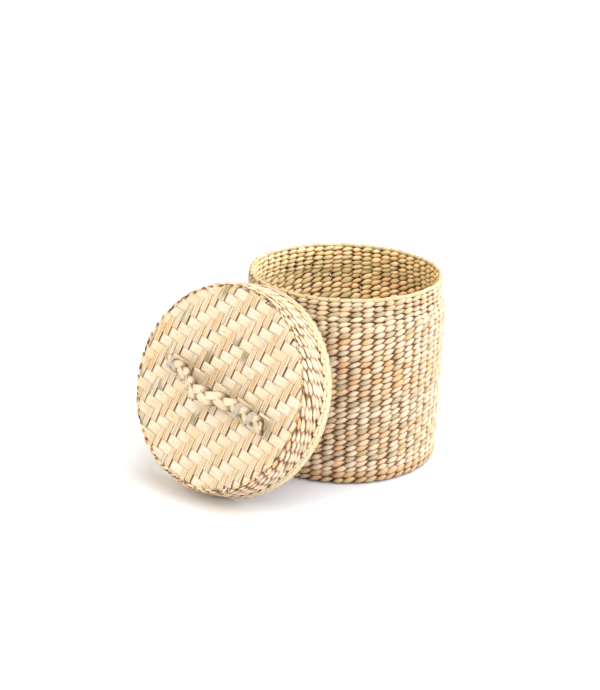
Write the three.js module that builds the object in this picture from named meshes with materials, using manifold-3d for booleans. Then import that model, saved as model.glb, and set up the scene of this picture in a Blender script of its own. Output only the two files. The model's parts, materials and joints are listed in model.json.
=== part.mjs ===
// A small woven box with a cap lid, twined in rush over flat stakes, with a plaited handle on the lid.
// The box stands on the floor, and its lid is off: it stands on edge and leans on the box's rim.
// Millimetres, +Z up, origin at the centre of the base, where it meets the floor.

import * as THREE from 'three';
import { mergeVertices } from 'three/addons/utils/BufferGeometryUtils.js';
import Module from 'manifold-3d';

const wasm = await Module();
wasm.setup();

// Rings that nest in each other share one number of sides, so the gap between them stays even.
const roundSides = 32;
const cornerSteps = 4;

// Box form
const boxHeight = 123.7;
const cornerRadius = 6.9;
const turnHeight = 9;
const bellyRadius = 66;
const bellyHeight = 80;
const footInset = 1;
const neckInset = 2.1;
const neckHeight = 18.3;
const rimInset = 0.6;
const rimHeight = 3;
const rimEdge = 0.9;
const basePanelThickness = 1.8;

// Layers of the box wall, from outside to inside
const weftThickness = 1.6;
const stakeThickness = 0.9;
const liningThickness = 1.4;
const liningWeb = 0.4;
const layerGap = 0.25;

// Courses of twined weft, each one turn round the box
const bodyCourses = 26;
const neckCourses = 5;
const courseGap = 0.25;
const courseEdge = 0.8;

// Lid form, in its own frame: the open edge lies at height 0 and the face at the top
const lidClearance = 0.3;
const lidDepth = 27.4;
const lidBorderHeight = 8.3;
const lidCrownInset = 1.9;
const lidPanelThickness = 1.8;
const lidPanelInset = 0.6;
const lidPanelEdge = 4;

// Twill of the lid's face: strips that fall to the right float over two of those that lean
const leaningSpacing = 4.74;
const fallingSpacing = 6.3;
const stripLean = THREE.MathUtils.degToRad(13);
const stripFall = THREE.MathUtils.degToRad(14);
const floatOver = 2;
const floatRise = 0.5;
const floatGap = 0.7;

// Layers and courses of the lid skirt
const lidWeftThickness = 0.8;
const lidStakeThickness = 0.4;
const lidLiningThickness = 0.3;
const lidGap = 0.25;
const lidCourses = 5;

// How the lid stands: turned to the left of the front, moved aside, leaning back on the box
const lidTurn = THREE.MathUtils.degToRad(34.7);
const lidLeftOffset = 14;
const lidLean = THREE.MathUtils.degToRad(21.1);
const leanGap = 0.55;
const leanSteps = 720;

// Plaited handle: three strands in a plait that arches between its sewn-down ends
const handleTurn = THREE.MathUtils.degToRad(-14.7);
const handleDrop = 1.9;
const handleShift = 4.8;
const handleHalfLength = 43.5;
const handleLift = 4;
const archLeft = 30.5;
const archRight = 17;
const archRise = 10.4;
const archSwing = THREE.MathUtils.degToRad(16);
const strandCount = 3;
const strandRadius = 1.1;
const strandSides = 6;
const strandSteps = 48;
const plaitRepeatLength = 28.7;
const plaitReach = 3.5;
const plaitBoundReach = 2.6;
const plaitDepth = 2;

// Thread lashings over the ends of the plait
const leftLashingOut = 39;
const innerLashingOut = 20.5;
const outerLashingOut = 31.5;
const lashingWidth = 3.2;
const lashingThickness = 0.9;
const lashingClearance = 0.35;
const lashingSteps = 10;

// Finishes
const weftFinish = finish(0xd8bf8a, 0.8);
const stakeFinish = finish(0xdcc592, 0.78);
const liningFinish = finish(0xb7a06c, 0.84);
const borderFinish = finish(0xe6d3a3, 0.75);
const panelFinish = finish(0xe4cf9c, 0.72);
const plaitFinish = finish(0xe2d5ae, 0.7);
const threadFinish = finish(0xddd6dc, 0.9);

function finish(color, roughness) {
  return new THREE.MeshStandardMaterial({ color, roughness, metalness: 0 });
}

function piece(name, geometry, material) {
  const mesh = new THREE.Mesh(geometry, material);
  mesh.name = name;
  return mesh;
}

function at(radius, height) {
  return new THREE.Vector2(radius, height);
}

// Radius of a wall line at a height. The line is a list of points from bottom to top.
function radiusAt(line, height) {
  let upper = 1;
  while (upper < line.length - 1 && height > line[upper].y) {
    upper += 1;
  }
  const below = line[upper - 1];
  const above = line[upper];
  const share = (height - below.y) / (above.y - below.y);
  return below.x + share * (above.x - below.x);
}

// A wall line moved outward by an offset, cut to the heights between bottom and top.
function layer(line, offset, bottom, top) {
  const inside = line.filter((point) => point.y > bottom && point.y < top);
  const ends = [at(radiusAt(line, bottom), bottom), at(radiusAt(line, top), top)];
  const points = [ends[0], ...inside, ends[1]];
  return points.map((point) => at(point.x + offset, point.y));
}

// Points on a quarter of an ellipse about a centre, from one angle to another.
function arc(centre, radiusAcross, radiusUp, fromAngle, toAngle) {
  const points = [];
  for (let step = 0; step <= cornerSteps; step += 1) {
    const angle = fromAngle + (toAngle - fromAngle) * step / cornerSteps;
    points.push(at(centre.x + radiusAcross * Math.cos(angle), centre.y + radiusUp * Math.sin(angle)));
  }
  return points;
}

// A ring whose section runs up its outer side and down its inner side.
function ring(section) {
  const closed = [...section, section[0]];
  return new THREE.LatheGeometry(closed, roundSides).rotateX(Math.PI / 2);
}

// A disc whose edge goes from the axis at its underside to the axis at its top.
function disc(edge) {
  return new THREE.LatheGeometry(edge, roundSides).rotateX(Math.PI / 2);
}

// A closed solid of a geometry, without the triangles that a lathe folds flat on its axis.
function toSolid(geometry) {
  const bare = geometry.clone();
  bare.deleteAttribute('normal');
  bare.deleteAttribute('uv');
  const merged = mergeVertices(bare);
  const corners = [];
  for (let start = 0; start < merged.index.count; start += 3) {
    const triangle = [0, 1, 2].map((corner) => merged.index.getX(start + corner));
    if (new Set(triangle).size === 3) {
      corners.push(...triangle);
    }
  }
  const vertProperties = merged.attributes.position.array;
  return new wasm.Manifold(new wasm.Mesh({ numProp: 3, vertProperties, triVerts: new Uint32Array(corners) }));
}

function toGeometry(solid) {
  const mesh = solid.getMesh();
  const geometry = new THREE.BufferGeometry();
  geometry.setAttribute('position', new THREE.BufferAttribute(mesh.vertProperties, 3));
  geometry.setIndex(new THREE.BufferAttribute(mesh.triVerts, 1));
  geometry.computeVertexNormals();
  return geometry;
}

// A sleeve between an outer and an inner wall line.
function sleeve(outerLine, innerLine) {
  return ring([...outerLine, ...innerLine.slice().reverse()]);
}

// One turn of weft: flat against the stakes, with its upper and lower edges falling back outside.
function course(innerLine, outerRadius, bottom, top) {
  return ring([
    at(radiusAt(innerLine, bottom), bottom),
    at(outerRadius, bottom + courseEdge),
    at(outerRadius, top - courseEdge),
    at(radiusAt(innerLine, top), top),
  ]);
}

// Heights, radii and wall lines of the box
const footRadius = bellyRadius - footInset;
const neckRadius = bellyRadius - neckInset;
const rimRadius = neckRadius - rimInset;
const rimBottom = boxHeight - rimHeight;
const neckBase = boxHeight - neckHeight;
const bodyPitch = (neckBase - turnHeight) / bodyCourses;
const neckPitch = (rimBottom - neckBase) / neckCourses;
const shoulderBase = neckBase - bodyPitch;
const bodyLine = [at(footRadius, turnHeight), at(bellyRadius, bellyHeight), at(bellyRadius, neckBase)];
const neckLine = [at(neckRadius, neckBase), at(rimRadius, rimBottom)];
const wallLine = [
  at(footRadius, turnHeight),
  at(bellyRadius, bellyHeight),
  at(bellyRadius, shoulderBase),
  at(neckRadius, neckBase),
  at(rimRadius, rimBottom),
];
const stakeInset = weftThickness + layerGap;
const liningInset = stakeInset + stakeThickness + layerGap;
const wallThickness = liningInset + liningThickness;

// Height where a course starts, counted from the bottom. The last course ends where the rim starts.
function courseStart(index) {
  if (index < bodyCourses) {
    return turnHeight + index * bodyPitch;
  }
  return neckBase + (index - bodyCourses) * neckPitch;
}

function makeBasePanel() {
  const radius = footRadius - cornerRadius - layerGap;
  const edge = [at(0, 0), at(radius, 0), at(radius, basePanelThickness), at(0, basePanelThickness)];
  return piece('base_panel', disc(edge), panelFinish);
}

// The strips of the base turn up round the corner and stand as stakes inside the weft.
function makeStakes() {
  const turnTop = turnHeight - courseGap / 2;
  const stakeTop = rimBottom - layerGap;
  const outer = layer(wallLine, -stakeInset, turnHeight, stakeTop);
  const inner = layer(wallLine, -stakeInset - stakeThickness, turnHeight, stakeTop);
  const cornerCentre = at(footRadius - cornerRadius, cornerRadius);
  const insideCentre = at(cornerCentre.x, turnHeight);
  const insideAcross = inner[0].x - insideCentre.x;
  const insideUp = turnHeight - basePanelThickness;
  const section = [
    ...arc(cornerCentre, cornerRadius, cornerRadius, -Math.PI / 2, 0),
    at(footRadius, turnTop),
    at(outer[0].x, turnTop),
    ...outer.slice(1),
    ...inner.slice(1).reverse(),
    ...arc(insideCentre, insideAcross, insideUp, 0, -Math.PI / 2),
  ];
  return piece('box_stakes', ring(section), stakeFinish);
}

function makeCourses() {
  const courses = [];
  const innerLine = wallLine.map((point) => at(point.x - weftThickness, point.y));
  for (let index = 0; index < bodyCourses + neckCourses; index += 1) {
    const start = courseStart(index);
    const end = courseStart(index + 1);
    const bottom = start + courseGap / 2;
    const top = end - courseGap / 2;
    const outerRadius = radiusAt(index < bodyCourses ? bodyLine : neckLine, (start + end) / 2);
    const name = `weft_course_${String(index + 1).padStart(2, '0')}`;
    courses.push(piece(name, course(innerLine, outerRadius, bottom, top), weftFinish));
  }
  return courses;
}

// The inside half of the twined weft, which faces the hollow of the box with a ridge for each course.
function makeLining() {
  const bottom = turnHeight + layerGap;
  const top = rimBottom - layerGap;
  const outer = layer(wallLine, -liningInset, bottom, top);
  const inner = [];
  for (let index = 0; index < bodyCourses + neckCourses; index += 1) {
    const start = Math.max(courseStart(index), bottom);
    const middle = (courseStart(index) + courseStart(index + 1)) / 2;
    inner.push(at(radiusAt(wallLine, start) - liningInset - liningWeb, start));
    inner.push(at(radiusAt(wallLine, middle) - wallThickness, middle));
  }
  inner.push(at(radiusAt(wallLine, top) - liningInset - liningWeb, top));
  return piece('box_lining', sleeve(outer, inner), liningFinish);
}

// The stake ends folded down and bound into a roll that caps the wall.
function makeRim() {
  const innerRadius = rimRadius - wallThickness;
  const section = [
    at(innerRadius, rimBottom),
    at(rimRadius, rimBottom),
    at(rimRadius, boxHeight - rimEdge),
    at(rimRadius - rimEdge, boxHeight),
    at(innerRadius + rimEdge, boxHeight),
    at(innerRadius, boxHeight - rimEdge),
  ];
  return piece('rim_border', ring(section), borderFinish);
}

// Heights and wall lines of the lid. Its inside runs beside the neck of the box.
const lidSkirtTop = lidDepth - lidPanelThickness - lidGap;
const lidCrownRadius = rimRadius + lidClearance - lidCrownInset;
const lidInsideLine = [
  at(neckRadius + lidClearance, 0),
  at(rimRadius + lidClearance, neckHeight),
  at(lidCrownRadius, lidSkirtTop),
];
const lidStakeOffset = lidLiningThickness + lidGap;
const lidWeftOffset = lidStakeOffset + lidStakeThickness + lidGap;
const lidWallThickness = lidWeftOffset + lidWeftThickness;
const lidFootRadius = lidInsideLine[0].x + lidWallThickness;

// A point on the face, from its distances across the leaning and the falling strips.
function facePoint(acrossLeaning, acrossFalling) {
  const spread = Math.cos(stripLean - stripFall);
  const right = acrossLeaning * Math.cos(stripFall) + acrossFalling * Math.sin(stripLean);
  const up = acrossFalling * Math.cos(stripLean) - acrossLeaning * Math.sin(stripFall);
  return at(right / spread, up / spread);
}

// Floats of the falling strips, each one strip further along than the float above it.
function makeFloats(flatRadius, bottom) {
  const floats = [];
  const reach = Math.ceil(flatRadius / Math.min(leaningSpacing, fallingSpacing));
  const repeat = 2 * floatOver;
  const halfLength = (floatOver * leaningSpacing - floatGap) / 2;
  const halfWidth = (fallingSpacing - floatGap) / 2;
  for (let falling = -reach; falling <= reach; falling += 1) {
    for (let step = -reach; step <= reach; step += 1) {
      const along = (falling + step * repeat + (floatOver - 1) / 2) * leaningSpacing;
      const across = falling * fallingSpacing;
      const corners = [
        facePoint(along - halfLength, across - halfWidth),
        facePoint(along + halfLength, across - halfWidth),
        facePoint(along + halfLength, across + halfWidth),
        facePoint(along - halfLength, across + halfWidth),
      ];
      if (corners.every((corner) => corner.length() < flatRadius)) {
        const options = { depth: lidDepth - bottom, bevelEnabled: false };
        floats.push(new THREE.ExtrudeGeometry(new THREE.Shape(corners), options).translate(0, 0, bottom));
      }
    }
  }
  return floats;
}

function makeLidPanel() {
  const underside = lidDepth - lidPanelThickness;
  const ground = lidDepth - floatRise;
  const radius = lidCrownRadius + lidWallThickness - lidPanelInset;
  const edgeCentre = at(radius - lidPanelEdge, underside);
  const edge = [
    at(0, underside),
    ...arc(edgeCentre, lidPanelEdge, ground - underside, 0, Math.PI / 2),
    at(0, ground),
  ];
  const flatRadius = edgeCentre.x * Math.cos(Math.PI / roundSides);
  const floats = makeFloats(flatRadius, (underside + ground) / 2);
  const woven = floats.reduce((solid, float) => solid.add(toSolid(float)), toSolid(disc(edge)));
  return piece('lid_panel', toGeometry(woven), panelFinish);
}

function makeLidStakes() {
  const bottom = lidBorderHeight + lidGap;
  const outer = layer(lidInsideLine, lidStakeOffset + lidStakeThickness, bottom, lidSkirtTop);
  const inner = layer(lidInsideLine, lidStakeOffset, bottom, lidSkirtTop);
  return piece('lid_stakes', sleeve(outer, inner), stakeFinish);
}

function makeLidCourses() {
  const courses = [];
  const pitch = (lidSkirtTop - lidBorderHeight) / lidCourses;
  const innerLine = lidInsideLine.map((point) => at(point.x + lidWeftOffset, point.y));
  for (let index = 0; index < lidCourses; index += 1) {
    const start = lidBorderHeight + index * pitch;
    const outerRadius = radiusAt(innerLine, start + pitch / 2) + lidWeftThickness;
    const ringSolid = course(innerLine, outerRadius, start + lidGap, start + pitch);
    courses.push(piece(`lid_course_${index + 1}`, ringSolid, weftFinish));
  }
  return courses;
}

function makeLidLining() {
  const bottom = lidBorderHeight + lidGap;
  const outer = layer(lidInsideLine, lidLiningThickness, bottom, lidSkirtTop);
  const inner = layer(lidInsideLine, 0, bottom, lidSkirtTop);
  return piece('lid_lining', sleeve(outer, inner), liningFinish);
}

// The lid's stake ends folded over the open edge into a flat band.
function makeLidBorder() {
  const outer = layer(lidInsideLine, lidWallThickness, 0, lidBorderHeight);
  const inner = layer(lidInsideLine, 0, 0, lidBorderHeight);
  return piece('lid_border', sleeve(outer, inner), borderFinish);
}

// One strand of the plait. It swings from side to side and dips under its neighbours.
class PlaitStrand extends THREE.Curve {
  constructor(turnShare) {
    super();
    this.turnShare = turnShare;
  }

  getPoint(share, target = new THREE.Vector3()) {
    const along = handleHalfLength * (2 * share - 1);
    const archShare = THREE.MathUtils.clamp((along + archLeft) / (archLeft + archRight), 0, 1);
    const bump = (1 - Math.cos(2 * Math.PI * archShare)) / 2;
    const phase = 2 * Math.PI * (along / plaitRepeatLength + this.turnShare);
    const reach = plaitBoundReach + (plaitReach - plaitBoundReach) * Math.sqrt(bump);
    const across = reach * Math.sin(phase);
    const up = archRise * bump + plaitDepth * Math.sin(2 * phase);
    const swungAcross = across * Math.cos(archSwing) - up * Math.sin(archSwing);
    const swungUp = across * Math.sin(archSwing) + up * Math.cos(archSwing);
    return target.set(along, swungAcross, handleLift + swungUp);
  }
}

function makeStrands() {
  const corners = [];
  for (let side = 0; side < strandSides; side += 1) {
    const angle = 2 * Math.PI * side / strandSides;
    corners.push(at(strandRadius * Math.cos(angle), strandRadius * Math.sin(angle)));
  }
  const strands = [];
  for (let index = 0; index < strandCount; index += 1) {
    const options = {
      steps: strandSteps,
      bevelEnabled: false,
      extrudePath: new PlaitStrand(index / strandCount),
    };
    const geometry = new THREE.ExtrudeGeometry(new THREE.Shape(corners), options);
    strands.push(piece(`handle_strand_${index + 1}`, geometry, plaitFinish));
  }
  return strands;
}

// Thread wound over the plait and down to the face on both sides of it.
function makeLashings() {
  const innerRadius = plaitBoundReach + strandRadius + lashingClearance;
  const outerRadius = innerRadius + lashingThickness;
  const outline = [at(outerRadius, lidGap), at(outerRadius, handleLift)];
  for (let step = 1; step < lashingSteps; step += 1) {
    const angle = Math.PI * step / lashingSteps;
    outline.push(at(outerRadius * Math.cos(angle), handleLift + outerRadius * Math.sin(angle)));
  }
  outline.push(at(-outerRadius, handleLift), at(-outerRadius, lidGap));
  outline.push(at(-innerRadius, lidGap), at(-innerRadius, handleLift));
  for (let step = lashingSteps - 1; step > 0; step -= 1) {
    const angle = Math.PI * step / lashingSteps;
    outline.push(at(innerRadius * Math.cos(angle), handleLift + innerRadius * Math.sin(angle)));
  }
  outline.push(at(innerRadius, handleLift), at(innerRadius, lidGap));
  const lashings = [];
  const places = { left: -leftLashingOut, right_inner: innerLashingOut, right_outer: outerLashingOut };
  for (const [place, centre] of Object.entries(places)) {
    const options = { depth: lashingWidth, bevelEnabled: false };
    const geometry = new THREE.ExtrudeGeometry(new THREE.Shape(outline), options);
    geometry.translate(0, 0, -lashingWidth / 2);
    geometry.rotateX(Math.PI / 2).rotateZ(Math.PI / 2);
    geometry.translate(centre, 0, 0);
    lashings.push(piece(`${place}_lashing`, geometry, threadFinish));
  }
  return lashings;
}

// Each point of the lid's open edge has to stand clear of the box, and the one that needs most decides.
function leanStandOff(centreHeight) {
  const outside = [...wallLine, at(rimRadius, boxHeight - rimEdge), at(rimRadius - rimEdge, boxHeight)];
  let standOff = 0;
  for (const radius of [lidInsideLine[0].x, lidFootRadius]) {
    for (let step = 0; step < leanSteps; step += 1) {
      const angle = 2 * Math.PI * step / leanSteps;
      const across = radius * Math.cos(angle) - lidLeftOffset;
      const up = radius * Math.sin(angle);
      const height = centreHeight + up * Math.cos(lidLean);
      if (height <= boxHeight) {
        const clear = radiusAt(outside, height) + leanGap;
        const reach = Math.sqrt(Math.max(clear * clear - across * across, 0));
        standOff = Math.max(standOff, reach + up * Math.sin(lidLean));
      }
    }
  }
  return standOff;
}

// The lid tips up from lying flat until its open edge rests on the box.
function makeLid() {
  const centreHeight = lidFootRadius * Math.cos(lidLean);
  const standOff = leanStandOff(centreHeight);

  const handle = new THREE.Group();
  handle.position.set(0, 0, lidDepth);
  handle.rotation.z = handleTurn;
  const handleLine = new THREE.Group();
  handleLine.position.set(handleShift, -handleDrop, 0);
  handleLine.add(...makeStrands(), ...makeLashings());
  handle.add(handleLine);

  const leaning = new THREE.Group();
  leaning.position.set(-lidLeftOffset, -standOff, centreHeight);
  leaning.rotation.x = Math.PI / 2 - lidLean;
  leaning.add(makeLidPanel(), makeLidStakes(), ...makeLidCourses(), makeLidLining(), makeLidBorder(), handle);

  const turned = new THREE.Group();
  turned.rotation.z = -lidTurn;
  turned.add(leaning);
  return turned;
}

const box = new THREE.Group();
box.add(makeBasePanel(), makeStakes(), ...makeCourses(), makeLining(), makeRim());

const lidded = new THREE.Group();
lidded.add(box, makeLid());

export default lidded;
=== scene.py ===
"""Dresses the woven lidded box: every weft float, stake, border fold, face strip, plait and thread.

Sizes are millimetres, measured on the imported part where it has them, and meshes are made in metres.
"""

import json
import logging
import math
from dataclasses import dataclass
from enum import Enum
from typing import Any, Mapping, NamedTuple, Sequence, Union

import bpy
import numpy as np
from mathutils import Matrix, Vector


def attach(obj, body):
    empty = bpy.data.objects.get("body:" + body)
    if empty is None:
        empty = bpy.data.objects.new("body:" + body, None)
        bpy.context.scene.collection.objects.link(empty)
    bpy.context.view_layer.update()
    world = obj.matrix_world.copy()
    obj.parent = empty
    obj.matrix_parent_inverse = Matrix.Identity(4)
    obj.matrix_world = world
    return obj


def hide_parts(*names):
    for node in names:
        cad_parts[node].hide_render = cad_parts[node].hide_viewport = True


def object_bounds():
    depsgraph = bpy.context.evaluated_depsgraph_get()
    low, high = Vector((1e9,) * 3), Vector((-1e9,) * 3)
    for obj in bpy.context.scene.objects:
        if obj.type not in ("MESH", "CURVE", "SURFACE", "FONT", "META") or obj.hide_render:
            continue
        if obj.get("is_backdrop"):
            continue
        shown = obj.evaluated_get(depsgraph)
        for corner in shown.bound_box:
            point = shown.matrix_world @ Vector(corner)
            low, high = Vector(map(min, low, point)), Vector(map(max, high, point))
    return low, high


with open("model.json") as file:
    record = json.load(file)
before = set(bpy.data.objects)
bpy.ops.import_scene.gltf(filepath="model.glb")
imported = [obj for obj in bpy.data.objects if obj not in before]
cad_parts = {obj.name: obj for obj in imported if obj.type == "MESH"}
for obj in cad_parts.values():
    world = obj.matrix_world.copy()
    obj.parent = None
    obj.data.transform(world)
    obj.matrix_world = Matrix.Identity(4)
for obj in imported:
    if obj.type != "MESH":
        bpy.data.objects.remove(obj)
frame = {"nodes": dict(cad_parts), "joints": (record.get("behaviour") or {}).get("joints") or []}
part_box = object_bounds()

MM = 0.001
PHOTO_SIZE = (600, 690)
STAKES = 56
SEED_RANGE = 90
FULL_TURN = 2 * math.pi
QUARTER_TURN = math.pi / 2
UP = np.array([0.0, 0.0, 1.0])

POINT = slice(0, 3)
FIBRE = slice(3, 6)
TONE = slice(6, 7)
DEPTH = slice(7, 8)

log = logging.getLogger("woven_box")

Array = np.ndarray
Size = Union[float, np.ndarray]
Random = np.random.Generator
Screen = tuple[int, int, int]
Pair = tuple[float, float]
Triple = tuple[float, float, float]
Colour = tuple[float, float, float, float]
Noise = tuple[Triple, float]
Key = Union[str, int]
Sockets = Mapping[Key, Any]
Operand = Union["Value", float]


class Side(Enum):
    """Which face of a twined wall a float shows on, as the sign of its reach from the stakes."""

    OUTSIDE = 1
    INSIDE = -1


class Lay(Enum):
    """The two sets of strips in a twill panel, as the place of their values in a pair."""

    STEEP = 0
    SHALLOW = 1


class Body(Enum):
    """The bodies of the part that pieces ride on."""

    BOX = "box"
    LID = "lid"
    HANDLE = "handle"


class Slot(Enum):
    """The record's material slots."""

    WEFT = "weft_strand"
    STAKE = "stake_strip"
    INSIDE = "weft_inside"
    BORDER = "border_strand"
    PANEL = "panel_strip"
    PLAIT = "plait_strand"
    THREAD = "cotton_thread"


def linear(screen: Screen) -> Colour:
    """Turns a screen colour into a linear one.

    Args:
        screen: Red, green and blue, 0 to 255.

    Returns:
        The linear colour with full alpha.
    """
    shares = [channel / 255 for channel in screen]
    values = [s / 12.92 if s <= 0.04045 else ((s + 0.055) / 1.055) ** 2.4 for s in shares]
    return (values[0], values[1], values[2], 1.0)


class Value:
    """A node's socket that takes part in arithmetic: each operator adds a Math node."""

    def __init__(self, graph: "Graph", socket: bpy.types.NodeSocket) -> None:
        """Keeps the socket and the graph it belongs to."""
        self.graph = graph
        self.socket = socket

    def _math(self, operation: str, first: Operand, second: Operand) -> "Value":
        """Adds a Math node on two operands and returns its result."""
        return self.graph.add("ShaderNodeMath", {"operation": operation}, {0: first, 1: second})

    def __add__(self, other: Operand) -> "Value":
        """Sum."""
        return self._math("ADD", self, other)

    def __radd__(self, other: Operand) -> "Value":
        """Sum with a number first."""
        return self._math("ADD", other, self)

    def __sub__(self, other: Operand) -> "Value":
        """Difference."""
        return self._math("SUBTRACT", self, other)

    def __rsub__(self, other: Operand) -> "Value":
        """Difference from a number."""
        return self._math("SUBTRACT", other, self)

    def __mul__(self, other: Operand) -> "Value":
        """Product."""
        return self._math("MULTIPLY", self, other)

    def __rmul__(self, other: Operand) -> "Value":
        """Product with a number first."""
        return self._math("MULTIPLY", other, self)

    def clamped(self) -> "Value":
        """The value held between 0 and 1."""
        settings = {"operation": "ADD", "use_clamp": True}
        return self.graph.add("ShaderNodeMath", settings, {0: self, 1: 0.0})


class Graph:
    """A node tree that nodes are added to."""

    def __init__(self, tree: bpy.types.NodeTree) -> None:
        """Keeps the tree."""
        self.tree = tree

    def add(self, kind: str, settings: Mapping[str, Any], sockets: Sockets, output: Key = 0) -> Value:
        """Adds a node.

        Args:
            kind: The node's type.
            settings: Properties that are set first.
            sockets: Values or links of its input sockets.
            output: Which output to return.

        Returns:
            The chosen output.
        """
        node = self.tree.nodes.new(kind)
        for key, setting in settings.items():
            setattr(node, key, setting)
        self.fill(node, sockets)
        return Value(self, node.outputs[output])

    def fill(self, node: bpy.types.Node, sockets: Sockets) -> None:
        """Sets or links the input sockets of a node.

        Args:
            node: The node.
            sockets: Values or links by socket.
        """
        for key, given in sockets.items():
            if isinstance(given, Value):
                self.tree.links.new(given.socket, node.inputs[key])
            else:
                node.inputs[key].default_value = given

    def attribute(self, name: str, output: str) -> Value:
        """Reads an attribute of the mesh."""
        settings = {"attribute_type": "GEOMETRY", "attribute_name": name}
        return self.add("ShaderNodeAttribute", settings, {}, output)

    def noise(self, vector: Value, scale: Triple, detail: float) -> Value:
        """Soft noise over a vector that is scaled first, about 0.5 in the middle."""
        scaled = self.add("ShaderNodeVectorMath", {"operation": "MULTIPLY"}, {0: vector, 1: scale})
        return self.add("ShaderNodeTexNoise", {}, {"Vector": scaled, "Scale": 1.0, "Detail": detail})

    def mix(self, share: Operand, first: Any, second: Any) -> Value:
        """Mixes two colours."""
        return self.add("ShaderNodeMix", {"data_type": "RGBA"}, {0: share, 6: first, 7: second}, 2)

    def relief(self, height: Value, strength: float, distance: float) -> Value:
        """A normal raised by a height, with its distance in millimetres."""
        sockets = {"Height": height, "Strength": strength, "Distance": distance * MM}
        return self.add("ShaderNodeBump", {}, sockets)


class Coat(Graph):
    """The node tree of one material, with its surface shader."""

    def __init__(self, name: str) -> None:
        """Makes an empty material with its output and surface shader."""
        self.material = bpy.data.materials.new(name)
        self.material.use_nodes = True
        super().__init__(self.material.node_tree)
        self.tree.nodes.clear()
        self.surface = self.tree.nodes.new("ShaderNodeBsdfPrincipled")
        output = self.tree.nodes.new("ShaderNodeOutputMaterial")
        self.tree.links.new(self.surface.outputs[0], output.inputs[0])


@dataclass(frozen=True)
class Finish:
    """A named finish; each kind says what its surface shader holds."""

    name: str

    def sockets(self, coat: Coat) -> Sockets:
        """What the surface shader's sockets hold, as values or links."""
        raise NotImplementedError

    def make(self) -> bpy.types.Material:
        """Builds the material.

        Returns:
            The finished material.
        """
        coat = Coat(self.name)
        coat.fill(coat.surface, self.sockets(coat))
        return coat.material


@dataclass(frozen=True)
class StrawFinish(Finish):
    """Dried rush or straw: strands that run from greenish to pale to orange, with lengthwise fibres and
    shade painted into their gaps and edges.
    """

    cool: Screen
    pale: Screen
    warm: Screen
    # Painted shade: gap is laid deep in gaps, and edge, a warm brown, near them and along float edges.
    gap: Screen
    edge: Screen = (166, 98, 42)
    streaks: float = 0.5
    blotches: float = 0.9
    fibres: float = 0.35
    fibre_start: float = 0.54
    fibre_slope: float = 6.0
    fibre_shade: float = 0.62
    roughness: float = 0.4
    gloss_play: float = 0.3
    grain: float = 0.5
    grain_height: float = 0.35
    palest: float = 0.48
    # Where the painted shade starts under a depth, how fast it comes in and how strong it gets, near a gap
    # and deep in it.
    near_gap: Triple = (1.02, 1.6, 0.7)
    deep_gap: Triple = (0.72, 1.7, 0.92)
    streak_noise: Noise = ((1.7, 0.11, 3.1), 2.0)
    blotch_noise: Noise = ((0.30, 0.10, 1.7), 1.0)
    fine_noise: Noise = ((3.2, 0.16, 5.3), 2.0)

    def sockets(self, coat: Coat) -> Sockets:
        """What the surface shader's sockets hold, from the strands' own attributes.

        Args:
            coat: The material's node tree.

        Returns:
            Values or links by socket.
        """
        tone = coat.attribute("tone", "Fac")
        depth = coat.attribute("depth", "Fac")
        fibre = coat.attribute("fibre", "Vector")
        noises = (self.streak_noise, self.blotch_noise, self.fine_noise)
        streak, blotch, fine = (coat.noise(fibre, *noise) for noise in noises)
        shade = tone + (streak - 0.5) * self.streaks + (blotch - 0.5) * (self.streaks * self.blotches)
        warm = linear(self.warm)
        young = coat.mix(shade * (1 / self.palest), linear(self.cool), linear(self.pale))
        body = coat.mix((shade - self.palest) * (1 / (1 - self.palest)), young, warm)
        line = ((fine - self.fibre_start) * self.fibre_slope).clamped() * self.fibres
        fibrous = coat.mix(line, body, tuple(self.fibre_shade * part for part in warm[:3]) + (1.0,))
        # Painted shade from the depth attribute: the warm edge colour near gaps, the dark gap colour deep in
        # them.
        gaps = (self.near_gap, self.deep_gap)
        near, deep = (((start - depth) * slope).clamped() * most for start, slope, most in gaps)
        edged = coat.mix(near, fibrous, linear(self.edge))
        return {
            "Base Color": coat.mix(deep, edged, linear(self.gap)),
            "Roughness": self.roughness + (fine - 0.5) * self.gloss_play,
            "Specular IOR Level": 0.5,
            "Normal": coat.relief(streak * 0.6 + fine * 0.4, self.grain, self.grain_height),
        }


@dataclass(frozen=True)
class ThreadFinish(Finish):
    """Soft cotton thread, with the slant of its plies."""

    light: Screen
    shade: Screen
    ply_scale: float = 0.8
    ply_height: float = 0.25
    fuzz_noise: Noise = ((5.0, 5.0, 3.0), 2.0)

    def sockets(self, coat: Coat) -> Sockets:
        """What the surface shader's sockets hold, from the thread's own attributes.

        Args:
            coat: The material's node tree.

        Returns:
            Values or links by socket.
        """
        fibre = coat.attribute("fibre", "Vector")
        plies = coat.add(
            "ShaderNodeTexWave",
            {"wave_type": "BANDS", "bands_direction": "DIAGONAL"},
            {"Vector": fibre, "Scale": self.ply_scale, "Distortion": 1.0, "Detail": 1.0},
            "Fac",
        )
        fuzz = coat.noise(fibre, *self.fuzz_noise)
        share = (plies * 0.6 + fuzz * 0.4).clamped()
        return {
            "Base Color": coat.mix(share, linear(self.shade), linear(self.light)),
            "Roughness": 0.8 + (fuzz - 0.5) * 0.2,
            "Specular IOR Level": 0.2,
            "Sheen Weight": 0.3,
            "Normal": coat.relief(plies, 0.6, self.ply_height),
        }


@dataclass(frozen=True)
class FloorFinish(Finish):
    """A matt pale sweep of paper."""

    light: Screen
    shade: Screen
    cloud_noise: Noise = ((2.0, 2.0, 2.0), 2.0)

    def sockets(self, coat: Coat) -> Sockets:
        """What the surface shader's sockets hold, as values or links."""
        cloud = coat.noise(coat.add("ShaderNodeTexCoord", {}, {}, "Object"), *self.cloud_noise)
        return {
            "Base Color": coat.mix(cloud, linear(self.shade), linear(self.light)),
            "Roughness": 0.7,
            "Specular IOR Level": 0.2,
        }


FLOOR = FloorFinish("paper_floor", light=(235, 239, 247), shade=(233, 237, 245))
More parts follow.
